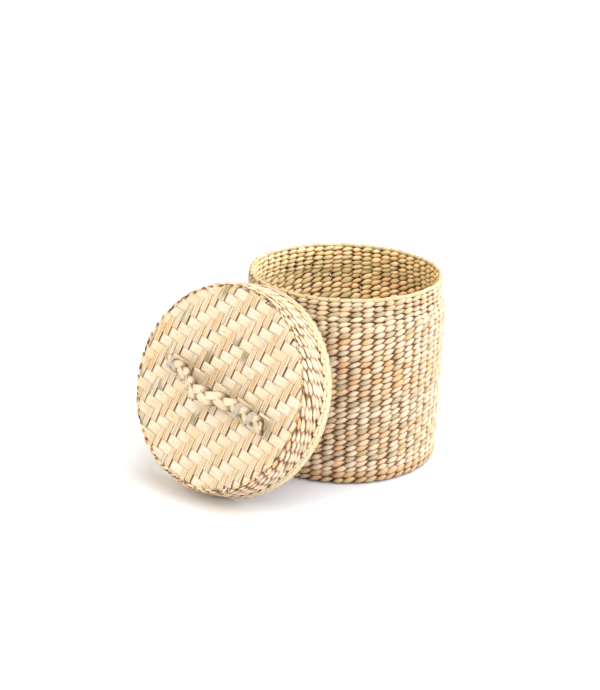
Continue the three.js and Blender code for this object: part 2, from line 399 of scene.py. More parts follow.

# The screen colours of straw: greenish, palest and orange, then the painted shade deep in a gap and the
# painted warm shade at its edge.
FINISHES: dict[Slot, Finish] = {
    Slot.WEFT: StrawFinish("rush_weft", (176, 165, 130), (228, 212, 186), (220, 177, 128), (44, 22, 8)),
    # Painted light: the same wefts as outside, painted lighter and with a lighter gap shade, for the lit
    # inside of the box.
    Slot.INSIDE: StrawFinish(
        "rush_weft_inside_painted_light", (216, 207, 158), (252, 236, 190), (252, 212, 157), (84, 58, 30), (184, 122, 60)
    ),
    Slot.STAKE: StrawFinish("rush_stake", (174, 158, 120), (200, 177, 140), (200, 160, 112), (34, 18, 8)),
    Slot.BORDER: StrawFinish(
        "rush_border", (188, 174, 138), (212, 197, 164), (205, 180, 138), (92, 60, 32), (180, 132, 78)
    ),
    Slot.PANEL: StrawFinish(
        "face_strip",
        *((153, 152, 124), (226, 220, 204), (219, 192, 148), (54, 33, 13), (184, 138, 84)),
        streaks=0.35,
        fibres=0.85,
    ),
    Slot.PLAIT: StrawFinish(
        "plaited_rush",
        *((206, 197, 168), (232, 220, 194), (222, 199, 158), (72, 50, 28), (186, 152, 106)),
        streaks=0.6,
        fibres=0.85,
    ),
    Slot.THREAD: ThreadFinish("lashing_thread", light=(222, 214, 208), shade=(184, 173, 163)),
}


class Band(NamedTuple):
    """The room that a round node takes: its two heights and its outer radius."""

    low: float
    high: float
    radius: float

    @property
    def middle(self) -> float:
        """Half way up."""
        return (self.low + self.high) / 2

    @property
    def pitch(self) -> float:
        """Height from edge to edge."""
        return self.high - self.low


def node_points(node: str) -> Array:
    """Reads a node's vertices.

    Args:
        node: The node's name.

    Returns:
        Points in millimetres, one row each.
    """
    mesh = frame["nodes"][node].data
    flat = np.empty(3 * len(mesh.vertices), np.float32)
    mesh.vertices.foreach_get("co", flat)
    return flat.reshape(-1, 3).astype(float) / MM


def unit(vectors: Array) -> Array:
    """Vectors of length 1 along the last axis."""
    return vectors / np.linalg.norm(vectors, axis=-1, keepdims=True)


def outward(angle: Array) -> Array:
    """The level directions away from a round piece's axis."""
    return np.stack([np.cos(angle), np.sin(angle), 0.0 * angle], axis=-1)


def stake_angles(shift: Size) -> Array:
    """The angles of the stakes, moved on by a shift that is counted in stakes."""
    return FULL_TURN * (np.arange(STAKES)[:, None] + shift) / STAKES


def ring_path(radius: Array, angle: Array, height: Array) -> Array:
    """Points round a round piece's axis."""
    return radius[..., None] * outward(angle) + height[..., None] * UP


@dataclass(frozen=True)
class Place:
    """A frame on the part: an origin and three axes, one a row."""

    origin: Array
    axes: Array

    @classmethod
    def of_ring(cls, ring: str, beyond: str) -> "Place":
        """The frame of a tilted round piece.

        Args:
            ring: The node of a ring, whose outer edge holds the origin.
            beyond: A node on the side that the third axis points to.

        Returns:
            The frame, with its second axis as upright as it can be.
        """
        points = node_points(ring)
        centre = points.mean(axis=0)
        axis = np.linalg.svd(points - centre, full_matrices=False)[2][2]
        if axis @ (node_points(beyond).mean(axis=0) - centre) < 0:
            axis = -axis
        upright = unit(UP - axis[2] * axis)
        origin = centre + axis * ((points - centre) @ axis).min()
        return cls(origin, np.array([np.cross(upright, axis), upright, axis]))

    def world(self, points: Array) -> Array:
        """Points of this frame in the part's frame."""
        return self.origin + points @ self.axes

    def local(self, points: Array) -> Array:
        """Points of the part's frame in this frame."""
        return (points - self.origin) @ self.axes.T

    def band(self, node: str) -> Band:
        """The room that a node takes round this frame's third axis."""
        across, up, along = self.local(node_points(node)).T
        return Band(along.min(), along.max(), np.hypot(across, up).max())


BOX_PLACE = Place(np.zeros(3), np.eye(3))
LID_PLACE = Place.of_ring("lid_border", "lid_panel")


@dataclass(frozen=True)
class Section:
    """A strand's section: its outline, and how strongly shade is painted on its edges, back and lower edge,
    up to 1.
    """

    corners: int = 8
    squareness: float = 1.0
    edge_shade: float = 0.0
    back_shade: float = 0.0
    under_shade: float = 0.0
    edge_fade: int = 4
    back_slope: float = 1.5
    back_start: float = 0.45

    def sweep(
        self, path: Array, wide: Array, width: Size, thick: Size, tone: Size, depth: Size, rng: Random
    ) -> Array:
        """Sweeps the section along each of several paths.

        Args:
            path: Points of each strand's middle, as strand, ring and axis.
            wide: The direction of the section's width, which fits the path's shape.
            width: Width of the section at each ring.
            thick: Thickness of the section at each ring.
            tone: Colour choice, from 0 greenish to 1 orange.
            depth: 1 in the open and 0 deep in a gap; the lower, the darker the shade painted into the
                colour.
            rng: Random numbers, for a seed that keeps a strand's fibres its own.

        Returns:
            Point, fibre, tone and depth of each strand, ring and corner; the depth is lowered where shade is
            painted.
        """
        count, rings, _ = path.shape
        along = unit(np.gradient(path, axis=1))
        wide = np.broadcast_to(wide, path.shape)
        first = unit(wide - (wide * along).sum(axis=-1, keepdims=True) * along)
        second = np.cross(along, first)
        angle = FULL_TURN * (np.arange(self.corners) + 0.5) / self.corners
        across, out = (np.sign(c) * np.abs(c) ** self.squareness for c in (np.cos(angle), np.sin(angle)))
        given = (width, thick, tone, depth)
        width, thick, tone, depth = (np.broadcast_to(each, (count, rings))[..., None] for each in given)
        sideways = width / 2 * across
        points = (
            path[:, :, None]
            + sideways[..., None] * first[:, :, None]
            + (thick / 2 * out)[..., None] * second[:, :, None]
        )
        steps = np.linalg.norm(np.diff(path, axis=1, prepend=path[:, :1]), axis=-1)
        run = np.cumsum(steps, axis=1)[..., None]
        seed = rng.uniform(0, SEED_RANGE, count)[:, None, None]
        # Painted shade: darker towards the section's edges, on its back, and along its lower edge as if lit
        # from above.
        unshaded = 1 - self.edge_shade * across**self.edge_fade
        unshaded = unshaded * (1 - self.back_shade * np.clip(-self.back_slope * out - self.back_start, 0, 1))
        unshaded = unshaded * (1 - self.under_shade * np.clip(-across, 0, 1))
        layers = np.broadcast_arrays(sideways, run, seed, tone, depth * unshaded)
        return np.concatenate([points, np.stack(layers, axis=-1)], axis=-1)


STRIP = Section(squareness=0.6)


def closed_faces(index: Array, tips: Array) -> tuple[Array, Array]:
    """The faces of closed strands.

    Args:
        index: Numbers of the vertices of each strand, ring and corner.
        tips: Numbers of the vertices in the middle of both ends, as end, strand and corner.

    Returns:
        The sides, with four corners each, and the ends, with three.
    """
    turned = np.roll(index, -1, axis=2)
    sides = np.stack([index[:, :-1], turned[:, :-1], turned[:, 1:], index[:, 1:]], axis=-1)
    start = np.stack([tips[0], turned[:, 0], index[:, 0]], axis=-1)
    end = np.stack([tips[1], index[:, -1], turned[:, -1]], axis=-1)
    return sides.reshape(-1, 4), np.concatenate([start.reshape(-1, 3), end.reshape(-1, 3)])


def strand_mesh(name: str, parts: Sequence[Array], place: Place) -> bpy.types.Mesh:
    """Makes one mesh of closed strands.

    Args:
        name: The mesh's name.
        parts: Swept strands.
        place: The frame that they were swept in.

    Returns:
        The mesh in the part's frame, pressed flat where it meets the floor.
    """
    rows: list[Array] = []
    faces: list[tuple[Array, Array]] = []
    count = 0
    for part in parts:
        *shape, columns = part.shape
        index = count + np.arange(math.prod(shape)).reshape(shape)
        tips = count + index.size + np.arange(2 * shape[0]).reshape(2, -1, 1)
        faces.append(closed_faces(index, tips + 0 * index[:, 0]))
        rows += [part.reshape(-1, columns), part[:, 0].mean(axis=1), part[:, -1].mean(axis=1)]
        count += index.size + tips.size
    values = np.concatenate(rows)
    points = place.world(values[:, POINT]) * MM
    points[:, 2] = np.maximum(points[:, 2], 0.0)
    kinds = [np.concatenate(kind) for kind in zip(*faces)]
    corners = np.concatenate([np.full(len(kind), kind.shape[1]) for kind in kinds])
    loops = np.concatenate([kind.ravel() for kind in kinds])
    mesh = bpy.data.meshes.new(name)
    mesh.vertices.add(count)
    mesh.vertices.foreach_set("co", points.astype(np.float32).ravel())
    mesh.loops.add(len(loops))
    mesh.loops.foreach_set("vertex_index", loops.astype(np.int32))
    mesh.polygons.add(len(corners))
    mesh.polygons.foreach_set("loop_start", (np.cumsum(corners) - corners).astype(np.int32))
    mesh.polygons.foreach_set("use_smooth", np.ones(len(corners), bool))
    # The depth attribute carries the painted shade that the straw finishes read.
    for attribute, kind, target, column in (
        ("tone", "FLOAT", "value", TONE),
        ("depth", "FLOAT", "value", DEPTH),
        ("fibre", "FLOAT_VECTOR", "vector", FIBRE),
    ):
        layer = mesh.attributes.new(attribute, kind, "POINT")
        layer.data.foreach_set(target, values[:, column].astype(np.float32).ravel())
    mesh.update(calc_edges=True)
    mesh.validate()
    return mesh


def add_object(name: str, data: bpy.types.ID) -> bpy.types.Object:
    """Adds an object to the scene.

    Args:
        name: The object's name.
        data: Its mesh, light or camera.

    Returns:
        The object.
    """
    made = bpy.data.objects.new(name, data)
    bpy.context.scene.collection.objects.link(made)
    return made


class Dresser:
    """Gives each piece its finish, body, slot and the nodes that it stands for."""

    def __init__(self) -> None:
        """Makes each finish once."""
        self.materials = {slot: finish.make() for slot, finish in FINISHES.items()}

    def dress(
        self, name: str, parts: Sequence[Array], place: Place, slot: Slot, body: Body, *nodes: str
    ) -> None:
        """Makes a piece, finishes it and ties it to the part.

        Args:
            name: The piece's name.
            parts: Its swept strands.
            place: The frame that they were swept in.
            slot: Its material slot.
            body: The body it rides on.
            nodes: The nodes it stands for.
        """
        made = add_object(name, strand_mesh(name, parts, place))
        made.data.materials.append(self.materials[slot])
        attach(made, body.value)
        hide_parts(*nodes)
        log.info("%s: %d faces on %s", made.name, len(made.data.polygons), body.value)


def even_tones(rng: Random, usual: float, spread: float) -> Array:
    """A tone for each stake, near the usual one."""
    return np.clip(rng.normal(usual, spread, (STAKES, 1)), 0, 1)


def spliced_tones(rng: Random, usual: Pair, spread: float) -> Array:
    """Tones of one course: two strands take turns over the stakes, and each is spliced now and then.

    Args:
        rng: Random numbers.
        usual: The usual tones of the two strands.
        spread: How far a strand may differ from its usual tone.

    Returns:
        A tone for each float.
    """
    batch_share = 0.6
    float_spread = 0.09
    shortest, longest = 6, 20
    tones = np.empty(STAKES)
    batch = rng.normal(0, batch_share * spread)
    for strand, tone in enumerate(rng.permutation(usual) + batch):
        place = strand
        while place < STAKES:
            run = 2 * int(rng.integers(shortest, longest))
            tones[place : place + run : 2] = rng.normal(tone, spread)
            place += run
    return np.clip(tones + rng.normal(0, float_spread, STAKES), 0, 1)


@dataclass(frozen=True)
class Twining:
    """A pair of wefts twined round upright stakes: each float climbs from a thin tail to a round head."""

    wall: float
    thick: float
    length: float = 1.68
    rise: float = 0.45
    crest: float = 1.2
    tip: float = 0.06
    taper: float = 1.8
    head: float = 1.3
    fullness: float = 0.75
    sunk: float = 0.55
    tail_thick: float = 0.5
    # Painted shade along each float: dark at its thin tail, none at its round head.
    tail_depth: float = -0.15
    head_depth: float = 1.2
    uneven: float = 0.22
    length_play: float = 0.4
    slip_play: float = 0.35
    proud_play: float = 0.5
    climb_play: float = 0.3
    width_play: float = 0.35
    waver: float = 0.0
    waves: tuple[Triple, ...] = ((2, 25, 1.0), (5, -40, 0.6))
    splay: float = 0.0
    rings: int = 12
    section: Section = Section(edge_shade=0.15, back_shade=1.0, under_shade=0.9)

    def floats(self, band: Band, side: Side, tones: Array, rng: Random) -> Array:
        """Sweeps the floats of one course on one face of the wall.

        Args:
            band: The room that the course takes.
            side: The face that the floats show on.
            tones: A tone for each float.
            rng: Random numbers.

        Returns:
            One strand for each float.
        """
        share = -0.5 * np.cos(np.linspace(0, math.pi, self.rings))
        open_share = np.clip(np.sin(math.pi * (share + 0.5) ** self.head), 0, 1)
        proud, lift, slip, stretch = rng.normal(0, self.uneven, (4, STAKES, 1))
        shift = 0.0 if side is Side.OUTSIDE else 1.0
        step = side.value * self.length * share * (1 + self.length_play * stretch)
        step = step + self.slip_play * slip * open_share
        angle = stake_angles(shift + step)
        most = (self.wall - self.thick) / 2 + self.proud_play * proud * open_share
        reach = most * open_share**self.fullness - self.sunk * (1 - open_share)
        radius = band.radius - self.wall / 2 + side.value * reach
        climb = (self.rise + self.climb_play * stretch) * band.pitch * np.sin(math.pi * share)
        wave = sum(part * np.sin(turns * angle + band.middle / drift) for turns, drift, part in self.waves)
        height = band.middle + climb + lift * open_share + self.waver * wave
        swell = self.tip + (self.crest - self.tip) * open_share**self.taper
        return self.section.sweep(
            ring_path(radius, angle, height),
            math.sin(self.splay) * outward(angle) + math.cos(self.splay) * UP,
            band.pitch * swell * (1 + self.width_play * proud),
            self.thick * (self.tail_thick + (1 - self.tail_thick) * open_share),
            tones[:, None],
            # painted shade, dark at the tail
            self.tail_depth + (self.head_depth - self.tail_depth) * open_share,
            rng,
        )


@dataclass(frozen=True)
class Fold:
    """Stakes' ends laid along an edge, one over the next, each thinner towards its two tips.

    The tips hold shares of width and thickness and a depth for the painted shade, and the plays are of
    radius, height and width.
    """

    length: float
    width: float
    thick: float
    rings: int
    blunt: tuple[int, float]
    tips: Triple
    open_depth: float
    leave: float
    uneven: float
    plays: Triple
    tones: Pair
    section: Section
    steady_tips: bool = False

    def ends(self, radius: float, height: float, fall: float, rng: Random) -> Array:
        """Sweeps the ends.

        Args:
            radius: How far their middles lie from the axis.
            height: How high their middles lie.
            fall: How far they drop from the middle to the last tip.
            rng: Random numbers.

        Returns:
            One strand for each end.
        """
        step = np.linspace(-1, 1, self.rings)
        taper = (1 - np.abs(step) ** self.blunt[0]) ** self.blunt[1]
        wide, thick = (tip + (1 - tip) * taper for tip in self.tips[:2])
        out, up = rng.normal(0, self.uneven, (2, STAKES, 1))
        radius_play, height_play, width_play = self.plays
        out = radius + self.leave * step + radius_play * out * (taper if self.steady_tips else 1)
        return self.section.sweep(
            ring_path(out, stake_angles(step * self.length / 2), height - fall * step + height_play * up),
            UP,
            self.width * wide * (1 + width_play * up),
            self.thick * thick,
            even_tones(rng, *self.tones),
            # painted shade, darkest at the tips
            self.tips[2] + (self.open_depth - self.tips[2]) * taper,
            rng,
        )


@dataclass(frozen=True)
class Twill:
    """A round panel of flat strips woven over two and under two, which may turn down past its edge.

    Each pair holds the steep strips' value and then the shallow ones'.
    """

    flat_radius: float
    middle: float
    bend: float = 3.0
    turned: float = 0.0
    angles: Pair = (math.radians(77), math.radians(-14))
    sides: Pair = (-1, 1)
    spacings: Pair = (4.74, 6.3)
    fullness: Pair = (0.89, 1.03)
    squareness: Pair = (0.5, 0.75)
    tilts: Pair = (0.05, 0.0)
    tones: Pair = (0.68, 0.62)
    warming: Pair = (0.0, 0.3)
    weave_height: float = 0.22
    thick: float = 0.38
    dive: float = 0.32
    # Painted shade: steep strips darker where they pass under, dark slits where shallow floats come out from
    # under, and strips turned down past the edge.
    steep_sink: float = 0.12
    gap_shade: float = 2.6
    gap_fade: float = 1.5
    gap_usual: float = 0.9
    gap_play: float = 0.3
    gap_strip_turn: float = 2.4
    gap_crossing_turn: float = 1.7
    turned_bends: float = 1.5
    turned_depth: float = 0.4
    palest: float = 0.48
    tone_play: float = 0.07
    wander: float = 0.06
    wander_shortest: float = 9
    wander_longest: float = 16
    green_share: float = 0.35
    green_length: float = 6.5
    green_strength: float = 0.8
    place_play: float = 0.02
    width_play: float = 0.015
    ribs: int = 3
    rib_shade: float = 0.5
    rib_play: float = 0.04
    rib_tones: float = 0.18
    step: float = 0.9
    fewest_rings: int = 8

    @property
    def end_radius(self) -> float:
        """How far a strip reaches from the middle, measured along its surface."""
        return self.flat_radius + self.turned

    def _axes(self, lay: Lay) -> tuple[Array, Array]:
        """The directions along and across a set of strips."""
        angle = self.angles[lay.value]
        return outward(angle)[:2], self.sides[lay.value] * outward(angle + QUARTER_TURN)[:2]

    def _crossing(self, lay: Lay, spots: Array) -> Array:
        """Which strip of the other set lies at each spot, in strips from the middle."""
        other = Lay.SHALLOW if lay is Lay.STEEP else Lay.STEEP
        return spots @ self._axes(other)[1] / self.spacings[other.value]

    def _weave(self, lay: Lay, index: int, crossing: Array) -> Array:
        """How far a strip stands above the panel's middle.

        Args:
            lay: The set that it belongs to.
            index: Its number, counted from the middle.
            crossing: Which strip of the other set lies at each spot.

        Returns:
            From -1 under the other set to 1 over it, at each spot.
        """
        before = np.floor(crossing)
        ease = np.clip((crossing - before - 0.5) / self.dive + 0.5, 0, 1)
        ease = ease * ease * (3 - 2 * ease)
        levels = []
        for crossed in (before, before + 1):
            steep, shallow = (index, crossed) if lay is Lay.STEEP else (crossed, index)
            shallow_over = np.mod(steep - shallow, 4) < 2
            levels.append(np.where(shallow_over == (lay is Lay.SHALLOW), 1.0, -1.0))
        return levels[0] + (levels[1] - levels[0]) * ease

    def _turned_down(self, points: Array) -> Array:
        """Bends flat strips down round the panel's edge and cuts them off where they end.

        Args:
            points: Points of flat strips.

        Returns:
            The points, moved.
        """
        distance = np.hypot(points[..., 0], points[..., 1])
        past = np.clip(distance - self.flat_radius, 0, self.turned)
        turn = np.minimum(past / self.bend, QUARTER_TURN)
        straight = np.maximum(past - self.bend * QUARTER_TURN, 0)
        proud = points[..., 2] - self.middle
        bent = self.flat_radius + (self.bend + proud) * np.sin(turn)
        scale = np.where(distance > self.flat_radius, bent / np.maximum(distance, 1.0), 1.0)
        height = self.middle - self.bend + (self.bend + proud) * np.cos(turn) - straight
        return np.stack([points[..., 0] * scale, points[..., 1] * scale, height], axis=-1)

    def strip(self, lay: Lay, index: int, rng: Random) -> Array:
        """Sweeps one strip from edge to edge.

        Args:
            lay: The set that it belongs to.
            index: Its number, counted from the middle.
            rng: Random numbers.

        Returns:
            The strip, as one strand for each of its ribs.
        """
        steep = lay is Lay.STEEP
        which = lay.value
        along, across = self._axes(lay)
        spacing = self.spacings[which]
        offset = spacing * (index + rng.normal(0, self.place_play))
        half = math.sqrt((self.end_radius + spacing) ** 2 - offset**2)
        run = np.linspace(-half, half, max(self.fewest_rings, round(2 * half / self.step)))
        spots = offset * across + run[:, None] * along
        crossing = self._crossing(lay, spots)
        weave = self._weave(lay, index, crossing)
        # Painted shade: a steep strip darkens where it passes under; a shallow float gets a dark slit where
        # it comes out from under a steep strip.
        if steep:
            depth = 1 - self.steep_sink + self.steep_sink * weave
        else:
            steepest = 3 / (self.dive * self.spacings[Lay.STEEP.value])
            emerging = np.clip(np.gradient(weave, run) / steepest, 0, 1)
            turn = self.gap_strip_turn * index + self.gap_crossing_turn * np.floor(crossing + 0.5)
            firm = self.gap_usual + self.gap_play * np.sin(turn)
            depth = 1 - self.gap_shade * firm * emerging**self.gap_fade
        # Painted shade on the strips turned down past the edge.
        turned_from = self.flat_radius + self.turned_bends * self.bend
        depth = np.where(np.hypot(*spots.T) > turned_from, self.turned_depth, depth)
        float_share = np.mod(crossing - index + 0.5, 4) / 2
        usual = self.tones[which] + self.warming[which] * (float_share - 0.5)
        wander_length = rng.uniform(self.wander_shortest, self.wander_longest)
        wander = self.wander * np.sin(run / wander_length + rng.uniform(0, FULL_TURN))
        tone = np.maximum(usual + rng.normal(0, self.tone_play) + wander, self.palest)
        if steep and rng.random() < self.green_share:
            stain = (run - rng.uniform(-half, half)) / self.green_length
            tone = tone - self.green_strength * np.exp(-(stain**2))
        ribs = self.ribs if steep else 1
        width = spacing * self.fullness[which] * (1 + rng.normal(0, self.width_play))
        lanes = width * ((np.arange(ribs)[:, None] + 0.5) / ribs - 0.5)
        tilt = self.tilts[which]
        proud = self.weave_height * weave + tilt * lanes + rng.normal(0, self.rib_play, (ribs, 1))
        # Painted shade along the ribs' edges.
        edge_shade = self.rib_shade if ribs > 1 else 0.0
        section = Section(squareness=self.squareness[which], edge_shade=edge_shade)
        strip = section.sweep(
            np.dstack([spots + lanes[..., None] * across, self.middle + proud]),
            np.append(across, tilt),
            width / ribs,
            self.thick,
            tone + (rng.normal(0, self.rib_tones, (ribs, 1)) if steep else 0.0),
            depth,
            rng,
        )
        strip[..., POINT] = self._turned_down(strip[..., POINT])
        return strip

    def strips(self, rng: Random) -> list[Array]:
        """Every strip of the panel, one set after the other."""
        counts = {lay: int(self.end_radius / self.spacings[lay.value]) for lay in Lay}
        return [self.strip(lay, i, rng) for lay in Lay for i in range(-counts[lay], counts[lay] + 1)]


class TwinedWall:
    """What the box and the lid have in common: flat stakes, and courses twined round them."""

    dresser: Dresser
    body: Body
    place: Place
    courses: int
    wall: float
    stake_width: float
    stake_thick: float
    stake_tones: Pair
    course_names: tuple[str, str]
    lining_names: tuple[str, str]
    weft_tones: Pair
    weft_spread: float
    twinings: list[Twining]
    rng: Random

    def measure(self) -> Array:
        """Reads the courses off the part: rows of low edges, high edges and outsides."""
        nodes = [self.course_names[1].format(number) for number in range(1, self.courses + 1)]
        return np.array([self.place.band(node) for node in nodes]).T

    def settle(self, rooms: Array) -> None:
        """Keeps the courses' rooms as they are woven and picks the tones of their wefts."""
        self.bands = [Band(*room) for room in rooms.T]
        self.tones = [spliced_tones(self.rng, self.weft_tones, self.weft_spread) for _ in self.bands]

    def dress(self, name: str, parts: Sequence[Array], slot: Slot, node: str) -> None:
        """Makes and dresses a piece of this wall."""
        self.dresser.dress(name, parts, self.place, slot, self.body, node)

    def wall_radius(self, heights: Array) -> Array:
        """How far the middle of the wall lies from the axis at each height."""
        middles = [band.middle for band in self.bands]
        return np.interp(heights, middles, [band.radius - self.wall / 2 for band in self.bands])

    def stakes(self, radius: Array, height: Array, depth: Size) -> Array:
        """Sweeps flat stakes that stand side by side round the wall.

        Args:
            radius: How far the rings of a stake lie from the axis.
            height: How high they lie.
            depth: How open they lie, which sets the shade painted on them.

        Returns:
            One strand for each stake.
        """
        angle = stake_angles(0.0 * radius)
        path = ring_path(radius, angle, height)
        tones = even_tones(self.rng, *self.stake_tones)
        wide = outward(angle + QUARTER_TURN)
        return STRIP.sweep(path, wide, self.stake_width, self.stake_thick, tones, depth, self.rng)

    def floats(self, number: int, side: Side) -> Array:
        """The floats of one course on one face of the wall."""
        return self.twinings[number].floats(self.bands[number], side, self.tones[number], self.rng)

    def build_courses(self) -> None:
        """The outside floats, one piece for each course, and then the same wefts inside as one lining."""
        numbers = range(self.courses)
        for number in numbers:
            name, node = (pattern.format(number + 1) for pattern in self.course_names)
            self.dress(name, [self.floats(number, Side.OUTSIDE)], Slot.WEFT, node)
        name, node = self.lining_names
        self.dress(name, [self.floats(number, Side.INSIDE) for number in numbers], Slot.INSIDE, node)


@dataclass
class BoxBody(TwinedWall):
    """The box: a twill base, stakes that turn up from it, twined courses and a folded rim."""

    dresser: Dresser
    body: Body = Body.BOX
    place: Place = BOX_PLACE
    courses: int = 31
    neck_courses: int = 5
    wall: float = 4.4
    corner: float = 6.9
    stake_thick: float = 0.8
    stake_width: float = 6.9
    stake_tones: Pair = (0.5, 0.2)
    stake_tuck: float = 4.0
    stake_low: float = 1.0
    stake_rings: int = 14
    turn_rings: int = 7
    # Painted shade on the stakes: light where they lie on the floor, darker at the turn, near black in the
    # wall, where they show only in gaps.
    floor_depth: float = 0.8
    turn_depth: float = 0.42
    wall_depth: float = 0.05
    course_names: tuple[str, str] = ("twined_course_{:02d}", "weft_course_{:02d}")
    lining_names: tuple[str, str] = ("twined_inside", "box_lining")
    weft_tones: Pair = (0.28, 0.68)
    weft_spread: float = 0.2
    seed: int = 56
    foot_heights: Pair = (0.5, 4.8)
    foot_inset: float = 0.9
    foot_tones: Pair = (0.55, 0.8)
    foot_spread: float = 0.14
    rim_sunk: float = 0.8
    rim_drop: float = 0.25
    rim_fold: Fold = Fold(
        length=1.3,
        width=2.5,
        thick=2.6,
        rings=13,
        blunt=(5, 0.6),
        tips=(0.3, 0.4, 0.1),
        open_depth=1.0,
        leave=0.45,
        uneven=1.0,
        plays=(0.15, 0.1, 0.08),
        tones=(0.72, 0.2),
        section=Section(corners=10),
    )
    body_twining: Twining = Twining(wall=4.4, thick=2.8, waver=0.3)
    neck_twining: Twining = Twining(
        wall=4.4,
        thick=2.6,
        rise=0.26,
        crest=1.22,
        section=Section(edge_shade=0.15, back_shade=1.0, under_shade=0.65),
    )
    shoulder_twining: Twining = Twining(wall=4.4, thick=2.9, rise=0.42, crest=1.32)
    foot_twining: Twining = Twining(wall=4.4, thick=2.8, rise=0.36, splay=math.radians(33))
    turn_twining: Twining = Twining(wall=4.4, thick=2.8, rise=0.38, splay=math.radians(6))
    shoulder_ease: Triple = (-0.3, 0.8, 0.4)
    course_uneven: float = 0.1

    def __post_init__(self) -> None:
        """Eases the shoulder, stretches the neck up to the folded rim and lets the courses' edges wander."""
        self.rng = np.random.default_rng(self.seed)
        self.rim = self.place.band("rim_border")
        rooms = self.measure()
        lows, highs, radii = rooms
        neck = self.courses - self.neck_courses
        radii[neck - 1 : neck + 2] += self.shoulder_ease
        neck_low = lows[neck]
        stretch = (self.rim.high - self.rim_fold.width - neck_low) / (self.rim.low - neck_low)
        rooms[:2, neck:] = neck_low + stretch * (rooms[:2, neck:] - neck_low)
        highs[:-1] += self.rng.normal(0, self.course_uneven, self.courses - 1)
        lows[1:] = highs[:-1]
        self.settle(rooms)
        self.twinings = [self.body_twining] * (neck - 1) + [self.shoulder_twining]
        self.twinings += [self.neck_twining] * self.neck_courses

    def build(self) -> None:
        """Builds and dresses every piece of the box."""
        self.build_base()
        self.build_stakes()
        self.build_courses()
        self.build_rim()

    def build_base(self) -> None:
        """The twill panel that the box stands on."""
        self.base = self.place.band("base_panel")
        twill = Twill(self.base.radius, self.base.middle, ribs=1, step=1.2)
        self.dress("base_twill", twill.strips(self.rng), Slot.PANEL, "base_panel")

    def build_stakes(self) -> None:
        """Stakes that leave the base, turn up and stand in the wall, held by two rows where they turn."""
        first = self.bands[0]
        bend = self.corner - self.wall / 2
        turn = np.linspace(-QUARTER_TURN, 0, self.turn_rings)
        heights = np.linspace(first.low, self.bands[-1].high, self.stake_rings)
        hub = self.base.radius
        turned = hub + bend * np.cos(turn)
        radius = np.concatenate([[hub - self.stake_tuck], turned, self.wall_radius(heights)])
        rise = self.corner + (self.corner - self.stake_low) * np.sin(turn)
        height = np.concatenate([[self.stake_low], rise, heights])
        # Painted shade on the stakes, by height.
        depth = np.where(height < first.middle, self.turn_depth, self.wall_depth)
        depth = np.where(height < 2 * self.stake_low, self.floor_depth, depth)
        parts = [self.stakes(radius, height, depth)]
        low, middle = self.foot_heights
        for twining, band in (
            (self.foot_twining, Band(low, middle, first.radius - self.foot_inset)),
            (self.turn_twining, Band(middle, first.low, first.radius)),
        ):
            tones = spliced_tones(self.rng, self.foot_tones, self.foot_spread)
            parts.append(twining.floats(band, Side.OUTSIDE, tones, self.rng))
        self.dress("upright_stakes", parts, Slot.STAKE, "box_stakes")

    def build_rim(self) -> None:
        """The stakes' ends, folded down along the rim one over the next."""
        fold = self.rim_fold
        radius = self.rim.radius - fold.thick / 2 - self.rim_sunk
        height = self.rim.high - fold.width / 2 - self.rim_drop
        ends = fold.ends(radius, height, -self.rim_drop, self.rng)
        self.dress("folded_rim", [ends], Slot.BORDER, "rim_border")


